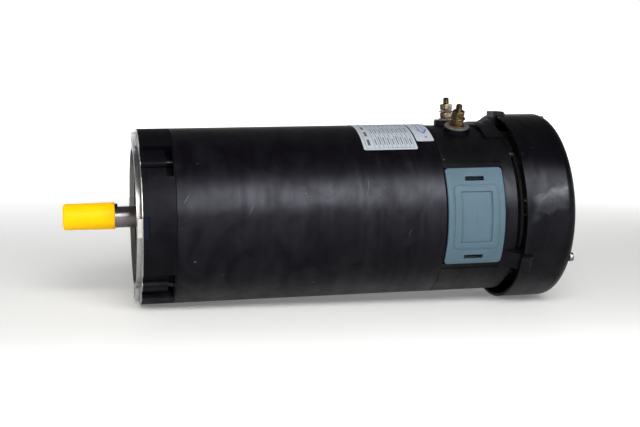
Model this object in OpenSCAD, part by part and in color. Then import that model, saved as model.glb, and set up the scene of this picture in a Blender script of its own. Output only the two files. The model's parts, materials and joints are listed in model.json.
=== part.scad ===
// Fan-cooled permanent-magnet brush motor with a round face-mounted body.
// The motor axis is X, the shaft points to -X, and the terminals are at +Z.
// The origin is on the shaft axis at the drive-end rim face. Units are millimetres.
// Angles around the axis are counted from -Y (the near brush window) towards +Z (the top).

/* [Body] */
// Outside diameter of the yoke and both end bells
body_d = 165; // [162:1:168]
// Wall thickness of the steel yoke tube
yoke_wall = 9; // [8:0.5:9]
// Length of the drive-end bell outside the yoke
drive_bell_len = 30; // [30:1:34]
// Distance from the rim face to the seam of the rear bell
seam_x = 278; // [278:1:290]
// Length of the rear bell barrel
rear_bell_len = 69; // [69:1:72]

/* [Drive face] */
// Outside diameter of the raised land
land_d = 134.6; // [130:0.2:136]
// Radial width of the raised land
land_wall = 4; // [3:0.5:6]
// Height of the land and the four mounting pads above the rim face
land_h = 4.3; // [3:0.1:6]
// Diameter of the circle through the four mounting holes
bolt_circle_d = 146; // [144:1:148]
// Diameter of the threaded mounting holes
mount_hole_d = 8; // [6:0.5:8]
// Depth of the mounting holes from the pad face
mount_hole_depth = 16; // [12:1:18]

/* [Shaft] */
// Diameter of the output shaft
shaft_d = 20; // [19:0.5:20]
// Length of the shaft in front of the rim face
shaft_reach = 65.8; // [60:0.2:80]
// Width and height of the output key
key_w = 6; // [5:0.5:6]
// Length of the output key
key_len = 40; // [30:1:40]
// Length of the yellow protective sleeve
sleeve_len = 47.6; // [40:0.2:60]

/* [Magnet motor] */
// Thickness of the ferrite magnets
magnet_t = 13.7; // [12:0.1:13.7]
// Angle covered by each magnet pole
pole_angle = 130; // [110:1:140]
// Length of the laminated armature core
core_len = 140; // [120:1:140]
// Number of armature slots
slot_count = 24; // [16:1:28]
// Radius of the commutator track
commutator_r = 32; // [30:0.5:32]
// Number of commutator bars
bar_count = 36; // [24:2:48]

/* [Brushes] */
// Length of a brush along the shaft
brush_len = 34; // [30:0.5:34]
// Thickness of a brush around the commutator
brush_t = 12.5; // [10:0.5:12.5]
// Radial height of a new brush
brush_h = 20; // [18:0.5:20]
// Number of turns in a brush spring
spring_turns = 5; // [4:1:6]

/* [Terminals] */
// Angle around the body of the terminal stud on the near side
near_stud_angle = 71.5; // [69:0.5:73]
// Angle around the body of the terminal stud near the top
top_stud_angle = 92.7; // [91:0.1:96]
// Diameter of the terminal studs
stud_d = 6.35; // [5:0.05:8]
// Width of the terminal nuts across their flats
nut_af = 11.1; // [10:0.1:13]
// Radius from the shaft axis to the tips of the studs
stud_tip_r = 108.4; // [106:0.1:112]

/* [Fan and shroud] */
// Outside diameter of the fan shroud
shroud_d = 182.4; // [180:0.2:190]
// Wall thickness of the fan shroud
shroud_wall = 2.5; // [2:0.1:3]
// Corner radius at the back of the shroud
shroud_corner = 10; // [8:0.5:12]
// Distance between the rear bell and the front edge of the shroud
shroud_gap = 6; // [5:0.5:8]
// Length of the shroud
shroud_len = 51.2; // [50:0.2:56]
// Number of fan blades
blade_count = 9; // [7:1:13]
// Radius of the fan at its blade tips
fan_r = 76; // [60:1:77]
// Diameter of the holes in the air inlet grille
grille_hole_d = 8; // [6:0.5:9]

/* [Hidden] */
$fn = 96;

// Clearances
eps = 0.02;          // between pieces pressed or glued together
slip = 0.3;          // between pieces that move past each other
over = 1;            // how far a cutter runs past the face it cuts

// Body
body_r = body_d / 2;
yoke_r = body_r - yoke_wall;
spigot_r = yoke_r - 0.2;
spigot_len = 8;
bell_wall = 8;
rear_x = seam_x + rear_bell_len;
rear_wall_x = rear_x - 9;
tie_r = body_r - 4.9;                 // circle of the M5 screws that hold the bells
tie_angles = [45, 135, 225, 315];
tie_hole_r = 2.55;
tie_screw_r = 2.5;
tie_head_r = 4.25;
tie_head_h = 5;
tie_grip = 12;                        // thread length in the yoke wall
lug_half = 12.5;                      // half angle of the relief beside each screw boss
lug_x = 22.8;                         // rear end of the screw bosses
lug_floor_r = body_r - 5;
pocket_floor_r = body_r - 11;
boss_r = 5.6;

// Drive face
land_r = land_d / 2;
pad_angles = [0, 90, 180, 270];
pad_w = 17;
pad_top_r = 79;
face_recess = 3;
hub_r = 34;
face_wall = 12;
cavity_r = 69;
notch_w = 21;
notch_len = 6.5;
notch_depth = 1.8;

// Bearings: [bore radius, outer radius, width, ball radius, pitch radius, balls, start]
front_x = 12;
front_bearing = [10, 26, 15, 4.76, 18, 7, front_x];
rear_bearing_x = rear_x - 14;
rear_bearing = [8.5, 20, 12, 3.37, 14.25, 8, rear_bearing_x];
race_gap = 0.1;
rear_hub_r = 27;
circlip_x = front_x + 15.3;
circlip_t = 1.2;
seal_r = 17.5;
seal_x = 0.5;
seal_w = 7;

// Shaft
shaft_r = shaft_d / 2;
core_r = 58.9;
core_x = 80;
core_seat_r = 15;
core_seat_x = 50;
tail_r = 7.5;
tail_end = rear_x + 33;
key_x = -18.5 - key_len;
key_sink = 3.5;
sleeve_r = 12.5;
sleeve_bore_r = 11.75;
sleeve_lift = 1.45;                   // the sleeve sits high because the key pushes it up
sleeve_x = -shaft_reach - 3.2;

// Winding
slot_w = 6;
slot_mouth = 2.8;
slot_floor_r = 40;
slot_shoulder_r = 55.5;
magnet_x = core_x - 6;
magnet_len = (core_len + 12) / 2;
magnet_r = yoke_r - 0.05;
winding_overhang = 22;

// Commutator and brush gear
riser_x = seam_x + 1;
track_x = seam_x + 5;
track_end = seam_x + 46;
bar_depth = 8;
bar_gap = 0.8;
brush_x = seam_x + 24.9;              // middle of the brush along the shaft
brush_gap = 0.12;                     // between the brush face and the commutator
brush_foot_r = commutator_r + brush_gap;
brush_top_r = brush_foot_r + brush_h;
box_wall = 1.5;
box_low_r = 34.5;
box_high_r = 55.5;
cap_r = 70;
ring_x = seam_x + 48;
ring_t = 5;
ring_r = 71.5;
ring_bore_r = 36;
ring_screw_r = 64;
spring_x = 9;                         // distance of each spring from the brush middle
spring_r = 4.4;
wire_r = 0.6;
lead_r = 1.1;
lead_x = 1.5;
lead_bend_r = 6;
lead_foot_r = 46;
bus_r = 68.5;
bus_t = 1.5;
bus_x = seam_x + 22;

// Terminals
stud_angles = [near_stud_angle, top_stud_angle];
stud_x = seam_x + 28;
stud_r = stud_d / 2;
boss_top_r = 85.6;
terminal_boss_r = 12.5;
bush_r = 6;
bush_flange_r = 9;
bush_flange_top = 73.4;
terminal_half = 33;                   // half angle of the flat around the terminals
terminal_flat_r = body_r - 1.2;
terminal_step_x = rear_x - 18;
insulator_t = 1.4;
washer_t = 1.3;
nut_h = 5.7;
stack_r = boss_top_r + insulator_t;   // where the metal washers start
low_nut_r = stack_r + 1.04;
top_nut_r = low_nut_r + nut_h + 2 * washer_t + eps;

// Windows and covers
cover_half = 32.9;                    // half angle of a brush cover
cover_r = 83.2;
cover_x0 = seam_x + 1.4;
cover_x1 = seam_x + 56.6;
seat_half = cover_half + 0.5;
seat_r = 79.4;
gasket_t = 0.75;
pry_slots = [25.2, -27.2];            // angles of the slots for lifting a cover off
pry_half = 1.3;
window_x0 = seam_x + 9;
window_x1 = seam_x + 51;
window_half_z = 38;
band_half = 37.5;                     // half angle of the shallow band around a window
band_x1 = rear_x - 12;

// Fan shroud
shroud_r = shroud_d / 2;
shroud_x = rear_x + shroud_gap;
shroud_end = shroud_x + shroud_len;
ear_angles = [90, 210, 330];
ear_w = 18;
ear_top_r = 94.3;
ear_x0 = rear_x + 3.4;
ear_x1 = rear_x + 15.5;
ear_screw_r = 84.5;
screw_seat = shroud_end - 1.6;

// ---------- shared shapes ----------
// A cylinder on the motor axis from x0 to x1
module x_cyl(r, x0, x1) {
  translate([x0, 0, 0]) rotate([0, 90, 0]) cylinder(r = r, h = x1 - x0);
}
// A cone on the motor axis from radius r0 at x0 to radius r1 at x1
module x_cone(r0, r1, x0, x1) {
  translate([x0, 0, 0]) rotate([0, 90, 0]) cylinder(r1 = r0, r2 = r1, h = x1 - x0);
}
module x_tube(r_out, r_in, x0, x1) {
  difference() {
    x_cyl(r_out, x0, x1);
    x_cyl(r_in, x0 - over, x1 + over);
  }
}
// Turns a shape drawn at the top (+Z) to the angle t around the motor axis
module around(t) {
  rotate([90 - t, 0, 0]) children();
}
// A profile given as [radius, x], turned about the motor axis
module turned() {
  rotate([0, 90, 0]) rotate_extrude() children();
}
// A curved block between two radii, two angles and two places along the shaft
module sector(r0, r1, t0, t1, x0, x1) {
  rotate([-90 - t1, 0, 0]) rotate([0, 90, 0])
    rotate_extrude(angle = t1 - t0) translate([r0, x0]) square([r1 - r0, x1 - x0]);
}
// A cylinder along the shaft direction at radius r and angle t
module side_cyl(radius, r, t, x0, x1) {
  around(t) translate([x0, 0, r]) rotate([0, 90, 0]) cylinder(r = radius, h = x1 - x0);
}
// A cylinder that points outwards from the motor axis at the angle t
module radial_cyl(radius, x, t, r0, r1) {
  around(t) translate([x, 0, r0]) cylinder(r = radius, h = r1 - r0);
}
module hex_ring(af, bore_r, x, t, r0, r1) {
  around(t) translate([x, 0, r0]) difference() {
    cylinder(r = af / sqrt(3), h = r1 - r0, $fn = 6);
    translate([0, 0, -over]) cylinder(r = bore_r, h = r1 - r0 + 2 * over);
  }
}
module radial_washer(r_out, r_in, x, t, r0, r1) {
  around(t) translate([x, 0, r0]) difference() {
    cylinder(r = r_out, h = r1 - r0);
    translate([0, 0, -over]) cylinder(r = r_in, h = r1 - r0 + 2 * over);
  }
}
// A socket-head screw along the shaft direction with its head between head_x0 and head_x1
module axial_screw(r, t, head_x0, head_x1, tip_x) {
  socket_x = tip_x > head_x1 ? head_x0 - over : head_x1 - 2.5;
  shank = tip_x > head_x1 ? [head_x1, tip_x] : [tip_x, head_x0];
  difference() {
    union() {
      side_cyl(tie_head_r, r, t, head_x0, head_x1);
      side_cyl(tie_screw_r, r, t, shank[0] - 0.01, shank[1] + 0.01);
    }
    around(t) translate([socket_x, 0, r]) rotate([0, 90, 0]) cylinder(r = 2.3, h = 3.5, $fn = 6);
  }
}

// ---------- yoke, bells and their screws ----------
module yoke_tube() {
  color("#232327") difference() {
    union() {
      x_cyl(body_r, drive_bell_len + 0.5, seam_x - 0.5);
      x_cone(body_r - 0.5, body_r, drive_bell_len, drive_bell_len + 0.5);
      x_cone(body_r, body_r - 0.5, seam_x - 0.5, seam_x);
    }
    x_cyl(yoke_r, drive_bell_len - over, seam_x + over);
    for (t = tie_angles) {
      side_cyl(tie_hole_r, tie_r, t, drive_bell_len - over, drive_bell_len + tie_grip + 1);
      side_cyl(tie_hole_r, tie_r, t, seam_x - tie_grip - 1, seam_x + over);
    }
  }
}

module mounting_pad(t) {
  around(t) translate([-land_h, -pad_w / 2, land_r - 1])
    cube([land_h + 0.5, pad_w, pad_top_r - land_r + 1]);
}

module screw_relief(t) {
  difference() {
    sector(lug_floor_r, body_r + 8, t - lug_half, t + lug_half, -over, lug_x);
    side_cyl(boss_r, tie_r, t, -2 * over, lug_x + over);
  }
  sector(pocket_floor_r, body_r + 8, t - lug_half, t + lug_half, lug_x, drive_bell_len - 1);
}

module drive_end_bell() {
  color("#26262a") difference() {
    union() {
      x_cyl(body_r, 0, drive_bell_len);
      x_tube(land_r, land_r - land_wall, -land_h, over);
      for (t = pad_angles) mounting_pad(t);
      x_tube(spigot_r, cavity_r, drive_bell_len - over, drive_bell_len + spigot_len);
    }
    x_tube(land_r - land_wall, 30, -over, face_recess);
    x_tube(cavity_r, hub_r, face_wall, drive_bell_len + over);
    x_cyl(seal_r + eps, -over, seal_x + seal_w + 0.5);
    x_cyl(shaft_r + 2, seal_x + seal_w, front_x + over);
    x_cyl(front_bearing[1] + eps, front_x, drive_bell_len + over);
    x_cyl(27.3, circlip_x - 0.1, circlip_x + circlip_t + 0.1);
    for (t = pad_angles)
      side_cyl(mount_hole_d / 2, bolt_circle_d / 2, t, -land_h - over, mount_hole_depth - land_h);
    for (t = tie_angles) {
      screw_relief(t);
      side_cyl(tie_head_r + 0.3, tie_r, t, -over, 7);
      side_cyl(tie_hole_r, tie_r, t, 6, drive_bell_len + over);
    }
    for (t = [0, 180])
      around(t) translate([-over, -notch_w / 2, body_r - notch_depth])
        cube([notch_len + over, notch_w, 10]);
  }
}

// The ear that carries one shroud screw, drawn as an outline in x and radius
module shroud_ear(t) {
  around(t) rotate([90, 0, 0]) translate([0, 0, -ear_w / 2]) linear_extrude(ear_w)
    polygon([
      [rear_x - 9, 80], [rear_x - 9, body_r - 0.5], [rear_x - 6.4, 84.6], [ear_x0, 88.5],
      [ear_x0, ear_top_r], [ear_x1 - 2, ear_top_r], [ear_x1, ear_top_r - 2], [ear_x1, 80]
    ]);
}

module rear_end_bell() {
  color("#232326") difference() {
    union() {
      difference() {
        x_tube(body_r, body_r - bell_wall, seam_x, rear_x);
        sector(terminal_flat_r, body_r + over, 90 - terminal_half, 90 + terminal_half,
          seam_x + 1.5, terminal_step_x);
      }
      x_tube(spigot_r, spigot_r - 6, seam_x - spigot_len, seam_x + 0.5);
      x_tube(body_r - 1, spigot_r - 6, seam_x, seam_x + 5);
      x_cyl(body_r - 1, rear_wall_x, rear_x);
      x_cyl(rear_hub_r, rear_bearing_x - 2, rear_x + 3);
      sector(80, body_r + 1.9, 91 - terminal_half, 89 + terminal_half, terminal_step_x, rear_x - 0.6);
      for (t = stud_angles) radial_cyl(terminal_boss_r, stud_x, t, 78, boss_top_r);
      for (t = ear_angles) shroud_ear(t);
      for (t = tie_angles) side_cyl(5, ring_screw_r, t, ring_x + ring_t, rear_x - 2);
    }
    x_cyl(rear_bearing[1] + eps, rear_bearing_x - 3, rear_x);
    x_cyl(10, rear_x - over, rear_x + 4);
    for (t = stud_angles) {
      radial_cyl(bush_r + eps, stud_x, t, 70, boss_top_r + over);
      radial_cyl(bush_flange_r + slip, stud_x, t, 68, bush_flange_top + 0.6);
    }
    for (t = tie_angles) {
      side_cyl(tie_hole_r, tie_r, t, seam_x - spigot_len - over, rear_x + over);
      side_cyl(2, ring_screw_r, t, ring_x, rear_x - 3);
    }
    for (t = ear_angles) side_cyl(tie_hole_r, ear_screw_r, t, ear_x0 + 2, ear_x1 + over);
    for (t = [0, 180]) {
      sector(body_r - 0.6, body_r + 8, t - band_half, t + band_half, seam_x - over, band_x1);
      sector(seat_r, body_r + 8, t - seat_half, t + seat_half, seam_x - over, cover_x1 + 2 * slip);
      around(t) translate([window_x0, -window_half_z, 60])
        cube([window_x1 - window_x0, 2 * window_half_z, 30]);
    }
  }
}

module drive_bell_screws() {
  color("#b9bbbd") for (t = tie_angles)
    axial_screw(tie_r, t, 2, 7, drive_bell_len + tie_grip);
}

module rear_bell_screws() {
  color("#4a4a4d") for (t = tie_angles)
    axial_screw(tie_r, t, rear_x, rear_x + tie_head_h, seam_x - tie_grip);
}

// ---------- field magnets ----------
module magnet(t, x0) {
  half = pole_angle / 2;
  color("#3b3a3d") sector(magnet_r - magnet_t, magnet_r, t - half, t + half, x0, x0 + magnet_len - slip);
}
module magnet_north_front() { magnet(90, magnet_x); }
module magnet_north_rear() { magnet(90, magnet_x + magnet_len); }
module magnet_south_front() { magnet(270, magnet_x); }
module magnet_south_rear() { magnet(270, magnet_x + magnet_len); }

// ---------- bearings and seal ----------
function race_lip(b) = b[3] * 0.8;
module race(b, r0, r1) {
  turned() difference() {
    translate([r0, b[6]]) square([r1 - r0, b[2]]);
    translate([b[4], b[6] + b[2] / 2]) circle(r = b[3] + race_gap);
  }
}
module outer_race(b) {
  color("#b4b6b8") race(b, b[4] + race_lip(b), b[1]);
}
module inner_race(b) {
  color("#b4b6b8") race(b, b[0] + eps, b[4] - race_lip(b));
}
module balls(b) {
  color("#c8cacc") for (i = [0 : b[5] - 1])
    around(i * 360 / b[5]) translate([b[6] + b[2] / 2, 0, b[4]]) sphere(r = b[3]);
}
module cage(b) {
  half = b[3] + 0.9;
  mid = b[6] + b[2] / 2;
  color("#c2a468") difference() {
    x_tube(b[4] + 0.7, b[4] - 0.7, mid - half, mid + half);
    for (i = [0 : b[5] - 1])
      around(i * 360 / b[5]) translate([mid, 0, b[4]]) sphere(r = b[3] + 0.15);
  }
}
module shields(b) {
  color("#a9abad") {
    x_tube(b[4] + race_lip(b), b[4] - race_lip(b) + slip, b[6] + 0.3, b[6] + 0.7);
    x_tube(b[4] + race_lip(b), b[4] - race_lip(b) + slip, b[6] + b[2] - 0.7, b[6] + b[2] - 0.3);
  }
}
module front_bearing_outer() { outer_race(front_bearing); }
module front_bearing_inner() { inner_race(front_bearing); }
module front_bearing_balls() { balls(front_bearing); }
module front_bearing_cage() { cage(front_bearing); }
module front_bearing_shields() { shields(front_bearing); }
module rear_bearing_outer() { outer_race(rear_bearing); }
module rear_bearing_inner() { inner_race(rear_bearing); }
module rear_bearing_balls() { balls(rear_bearing); }
module rear_bearing_cage() { cage(rear_bearing); }
module rear_bearing_shields() { shields(rear_bearing); }

module front_bearing_circlip() {
  color("#6d6f72") sector(23, 27.2, -75, 255, circlip_x, circlip_x + circlip_t);
}

// Rubber lip seal around the shaft, open to the inside
module shaft_seal() {
  color("#3a2c26") turned() difference() {
    translate([shaft_r + 0.05, seal_x]) square([seal_r - shaft_r - 0.05, seal_w]);
    translate([shaft_r + 1.6, seal_x + 1.8]) square([4.4, seal_w]);
  }
}

// Three-wave spring washer behind the rear bearing
module rear_wave_spring() {
  steps = 48;
  mid = rear_bearing_x + 13;
  wave = 0.55;
  half_t = 0.2;
  ring = [[13, -half_t], [18.6, -half_t], [18.6, half_t], [13, half_t]];
  points = [
    for (i = [0 : steps - 1]) for (c = ring)
      let (a = i * 360 / steps)
      [mid + c[1] + wave * cos(3 * a), c[0] * cos(a), c[0] * sin(a)]
  ];
  faces = [
    for (i = [0 : steps - 1]) for (j = [0 : 3])
      let (n = (i + 1) % steps, k = (j + 1) % 4)
      [4 * i + j, 4 * n + j, 4 * n + k, 4 * i + k]
  ];
  color("#77797c") polyhedron(points, faces);
}

// ---------- rotor ----------
module shaft() {
  color("#a7a9ab") difference() {
    union() {
      x_cyl(shaft_r, -shaft_reach + 1, front_x + 15);
      x_cone(shaft_r - 1, shaft_r, -shaft_reach, -shaft_reach + 1);
      x_cyl(13, front_x + 15, core_seat_x);
      x_cyl(core_seat_r, core_seat_x, track_end + 2);
      x_cyl(11, track_end + 2, rear_bearing_x);
      x_cyl(rear_bearing[0], rear_bearing_x, rear_bearing_x + 12);
      x_cyl(tail_r, rear_bearing_x + 12, tail_end);
    }
    translate([key_x, -key_w / 2, shaft_r - key_sink]) cube([key_len, key_w, 10]);
    x_tube(tail_r + over, 7, tail_end - 4, tail_end - 2.6);
    x_cone(3.2, 0, -shaft_reach - 0.01, -shaft_reach + 4);
  }
}
module shaft_key() {
  color("#4b4a48") translate([key_x + 0.05, -key_w / 2 + eps, shaft_r - key_sink + eps])
    cube([key_len - 0.1, key_w - 2 * eps, key_w - eps]);
}
module armature_core() {
  color("#6a6c70") translate([core_x, 0, 0]) rotate([90, 0, 90]) linear_extrude(core_len)
    difference() {
      circle(r = core_r);
      circle(r = core_seat_r + eps);
      for (i = [0 : slot_count - 1]) rotate(i * 360 / slot_count) {
        translate([slot_floor_r, -slot_w / 2]) square([slot_shoulder_r - slot_floor_r, slot_w]);
        translate([slot_shoulder_r - over, -slot_mouth / 2]) square([10, slot_mouth]);
      }
    }
}
module slot_bar(r0, r1, w, x0, x1) {
  translate([x0, r0, -w / 2]) cube([x1 - x0, r1 - r0, w]);
}
module slot_conductors() {
  color("#b4652f") for (i = [0 : slot_count - 1]) rotate([i * 360 / slot_count, 0, 0])
    slot_bar(slot_floor_r + 0.3, slot_shoulder_r - 2, slot_w - 0.6, core_x, core_x + core_len);
}
module slot_wedges() {
  color("#d8d2b8") for (i = [0 : slot_count - 1]) rotate([i * 360 / slot_count, 0, 0])
    slot_bar(slot_shoulder_r - 1.6, slot_shoulder_r - 0.1, slot_w - 0.2, core_x - 2, core_x + core_len + 2);
}
module front_end_winding() {
  x0 = core_x - winding_overhang;
  color("#a85a28") turned() {
    translate([core_seat_r + 8, x0 + 4]) square([28, winding_overhang - 4.1]);
    translate([core_seat_r + 12, x0]) square([20, 5]);
  }
}
module rear_end_winding() {
  x0 = core_x + core_len + 0.1;
  x1 = x0 + winding_overhang;
  color("#a85a28") difference() {
    union() {
      x_cyl(slot_shoulder_r - 4.5, x0, x1);
      x_cone(slot_shoulder_r - 4.5, commutator_r + 3, x1, riser_x - 0.1);
    }
    x_cyl(core_seat_r + 8, x0 - over, riser_x);
  }
}
module commutator_bars() {
  color("#b7713f") difference() {
    union() {
      x_cyl(commutator_r + 4, riser_x, track_x);
      x_cyl(commutator_r, track_x - over, track_end);
    }
    x_cyl(commutator_r - bar_depth, riser_x - over, track_end + over);
    for (i = [0 : bar_count / 2 - 1]) rotate([i * 360 / bar_count, 0, 0])
      translate([riser_x - over, -commutator_r - 6, -bar_gap / 2])
        cube([track_end - riser_x + 2 * over, 2 * commutator_r + 12, bar_gap]);
  }
}
module commutator_hub() {
  color("#3d2b22") x_tube(commutator_r - bar_depth - eps, core_seat_r + eps, riser_x, track_end);
}
module cooling_fan() {
  x0 = rear_x + 5;
  color("#2a2a2d") {
    difference() {
      union() {
        x_cyl(15, x0, x0 + 24);
        x_cyl(fan_r - 2, x0 + 2, x0 + 4.5);
        for (i = [0 : blade_count - 1]) around(i * 360 / blade_count)
          translate([x0 + 4, -1.2, 12]) cube([30, 2.4, fan_r - 12]);
      }
      x_cyl(tail_r + eps, x0 - over, x0 + 40);
    }
  }
}
module fan_circlip() {
  color("#6d6f72") sector(7.05, 11, -70, 250, tail_end - 3.9, tail_end - 2.7);
}

// Soft closed cap over the shaft end and its key
module shaft_sleeve() {
  color("#f2b705") translate([sleeve_x, 0, sleeve_lift]) rotate([0, 90, 0]) difference() {
    union() {
      translate([0, 0, 1.5]) cylinder(r1 = sleeve_r - 0.25, r2 = sleeve_r + 0.3, h = sleeve_len - 1.5);
      cylinder(r1 = sleeve_r - 1.5, r2 = sleeve_r - 0.25, h = 1.5);
    }
    translate([0, 0, 2.8]) cylinder(r = sleeve_bore_r, h = sleeve_len);
  }
}

// ---------- brush gear ----------
module brush_ring() {
  color("#6b3f25") difference() {
    x_tube(ring_r, ring_bore_r, ring_x, ring_x + ring_t);
    for (t = tie_angles) side_cyl(2.2, ring_screw_r, t, ring_x - over, ring_x + ring_t + over);
    for (t = [0, 180]) for (z = [-1, 1])
      around(t) translate([ring_x - over, z * 12, 60]) rotate([0, 90, 0]) cylinder(r = 1.7, h = 4);
  }
}
module brush_ring_screws() {
  color("#b9bbbd") for (t = tie_angles) {
    side_cyl(3.6, ring_screw_r, t, ring_x - 2.6, ring_x);
    side_cyl(1.95, ring_screw_r, t, ring_x - 0.01, ring_x + ring_t + 7);
  }
}
// Brass box that guides one brush, with the arms and strap that hold its springs
module brush_box() {
  x0 = brush_x - brush_len / 2 - 0.2;
  x1 = brush_x + brush_len / 2 + 0.2;
  y0 = brush_t / 2 + 0.2;
  arm_r = box_high_r - over;
  arm_h = cap_r + 1 - arm_r;
  color("#b99b52") difference() {
    union() {
      translate([x0 - box_wall, -y0 - box_wall, box_low_r])
        cube([ring_x - x0 + box_wall, 2 * (y0 + box_wall), box_high_r - box_low_r]);
      translate([x0 - box_wall, -6, arm_r]) cube([box_wall, 12, arm_h]);
      translate([x1 + 0.5, -6, arm_r]) cube([ring_x - x1 - 0.5, 12, arm_h]);
      translate([x0 - box_wall, -6, cap_r]) cube([ring_x - x0 + box_wall, 12, 1.2]);
      translate([ring_x - 2, -16, box_low_r + 4]) cube([2, 32, 27]);
      translate([brush_x - 4, -16, lead_foot_r - 3]) cube([8, 32, 3]);
    }
    translate([x0, -y0, box_low_r - over]) cube([x1 - x0, 2 * y0, box_high_r - box_low_r + 2 * over]);
    for (z = [-1, 1])
      translate([ring_x - 3, z * 12, 60]) rotate([0, 90, 0]) cylinder(r = 1.7, h = 4);
  }
}
module near_brush_box() { around(0) brush_box(); }
module far_brush_box() { around(180) brush_box(); }

module brush() {
  x0 = brush_x - brush_len / 2;
  color("#2e2d2c") difference() {
    translate([x0, -brush_t / 2, brush_foot_r - 2]) cube([brush_len, brush_t, brush_h + 2]);
    x_cyl(brush_foot_r, x0 - over, x0 + brush_len + over);
  }
}
module near_brush() { around(0) brush(); }
module far_brush() { around(180) brush(); }

// A closed tube through rings of points, each ring with the same number of sides
module tube_skin(points, sides) {
  last = len(points) / sides - 1;
  skin = [
    for (i = [0 : last - 1]) for (j = [0 : sides - 1])
      let (k = (j + 1) % sides)
      [i * sides + j, i * sides + k, (i + 1) * sides + k, (i + 1) * sides + j]
  ];
  start = [for (j = [sides - 1 : -1 : 0]) j];
  finish = [for (j = [0 : sides - 1]) last * sides + j];
  polyhedron(points, concat(skin, [start, finish]));
}
// A coil of round wire that rises from z0 to z1
module coil_spring(z0, z1) {
  steps = 18;
  sides = 6;
  rings = spring_turns * steps;
  rise = (z1 - z0 - 2 * wire_r) / rings;
  points = [
    for (i = [0 : rings]) for (j = [0 : sides - 1])
      let (a = i * 360 / steps, b = j * 360 / sides, r = spring_r + wire_r * cos(b))
      [r * cos(a), r * sin(a), z0 + wire_r + i * rise + wire_r * sin(b)]
  ];
  tube_skin(points, sides);
}
module brush_springs() {
  color("#8d9093") for (dx = [-spring_x, spring_x])
    translate([brush_x + dx, 0, 0]) coil_spring(brush_top_r + 0.05, cap_r - 0.05);
}
module near_brush_springs() { around(0) brush_springs(); }
module far_brush_springs() { around(180) brush_springs(); }

// Copper braid from the top of the brush, over the box wall and down to its tab
module brush_lead() {
  bends = 14;
  sides = 8;
  top_r = box_high_r + 2;
  arc = [for (i = [0 : bends]) [180 * i / bends, top_r]];
  path = concat([[0, brush_top_r + 0.05]], arc, [[180, lead_foot_r + 0.05]]);
  points = [
    for (p = path) for (j = [0 : sides - 1])
      let (b = j * 360 / sides, bend = lead_bend_r + lead_r * cos(b))
      [lead_r * sin(b), lead_bend_r - bend * cos(p[0]), p[1] + bend * sin(p[0])]
  ];
  translate([lead_x, 0, 0]) tube_skin(points, sides);
}
module brush_leads() {
  color("#c07a45") translate([brush_x, 0, 0]) for (turn = [0, 180]) rotate([0, 0, turn]) brush_lead();
}
module near_brush_leads() { around(0) brush_leads(); }
module far_brush_leads() { around(180) brush_leads(); }

// Copper strap inside the rear bell from a stud down to the plate of a brush box
module busbar(stud_t, end_t) {
  turn = end_t > stud_t ? 1 : -1;
  foot = [end_t, end_t + turn * 5];
  strap = [stud_t - turn * 5, end_t + turn * 2];
  foot_r = bus_r - 0.5;
  foot_x = ring_x - 2 - eps;
  color("#b8703c") {
    difference() {
      sector(bus_r, bus_r + bus_t, min(strap), max(strap), bus_x, bus_x + 12);
      radial_cyl(stud_r + eps, stud_x, stud_t, 60, 80);
    }
    sector(foot_r, foot_r + bus_t, min(foot), max(foot), bus_x + 0.5, foot_x);
    sector(58, foot_r + bus_t / 2, min(foot), max(foot), foot_x - bus_t, foot_x);
  }
}
module near_busbar() { busbar(near_stud_angle, 13); }
module far_busbar() { busbar(top_stud_angle, 167); }

// ---------- terminals ----------
module terminal_studs() {
  color("#b8a25c") for (t = stud_angles) {
    radial_cyl(stud_r - 0.3, stud_x, t, bus_r - 4.5, top_nut_r + nut_h + 0.5);
    radial_cyl(stud_r, stud_x, t, top_nut_r + nut_h + 0.4, stud_tip_r - 0.8);
    around(t) translate([stud_x, 0, stud_tip_r - 0.81]) cylinder(r1 = stud_r, r2 = stud_r - 0.8, h = 0.8);
    around(t) translate([stud_x, 0, bus_r - 4.6]) cylinder(r = 5.6, h = 4.5, $fn = 6);
  }
}
module stud_bushes() {
  color("#c9c4b4") for (t = stud_angles) {
    radial_washer(bush_r, stud_r + eps, stud_x, t, bus_r + bus_t + 0.1, boss_top_r - 0.1);
    radial_washer(bush_flange_r, bush_r - 0.1, stud_x, t, bus_r + bus_t + 0.1, bush_flange_top);
  }
}
module terminal_insulators() {
  color("#a9adb0") for (t = stud_angles)
    radial_washer(12, stud_r + eps, stud_x, t, boss_top_r + 0.02, stack_r - 0.02);
}
module terminal_washers() {
  hole_r = stud_r + eps;
  color("#b98a5a") for (t = stud_angles) {
    radial_washer(7.4, hole_r, stud_x, t, stack_r, low_nut_r - eps);
    radial_washer(7.2, hole_r, stud_x, t, low_nut_r + nut_h, low_nut_r + nut_h + washer_t);
    radial_washer(5.8, hole_r, stud_x, t, top_nut_r - washer_t, top_nut_r - eps);
  }
}
module terminal_nuts() {
  color("#c2a64e") for (t = stud_angles) for (r = [low_nut_r, top_nut_r])
    hex_ring(nut_af, stud_r + eps, stud_x, t, r, r + nut_h - eps);
}

// ---------- brush covers ----------
module cover_window(r0, r1, half_x, half_t) {
  mid = (cover_x0 + cover_x1) / 2;
  sector(r0, r1, -half_t, half_t, mid - half_x, mid + half_x);
}
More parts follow.
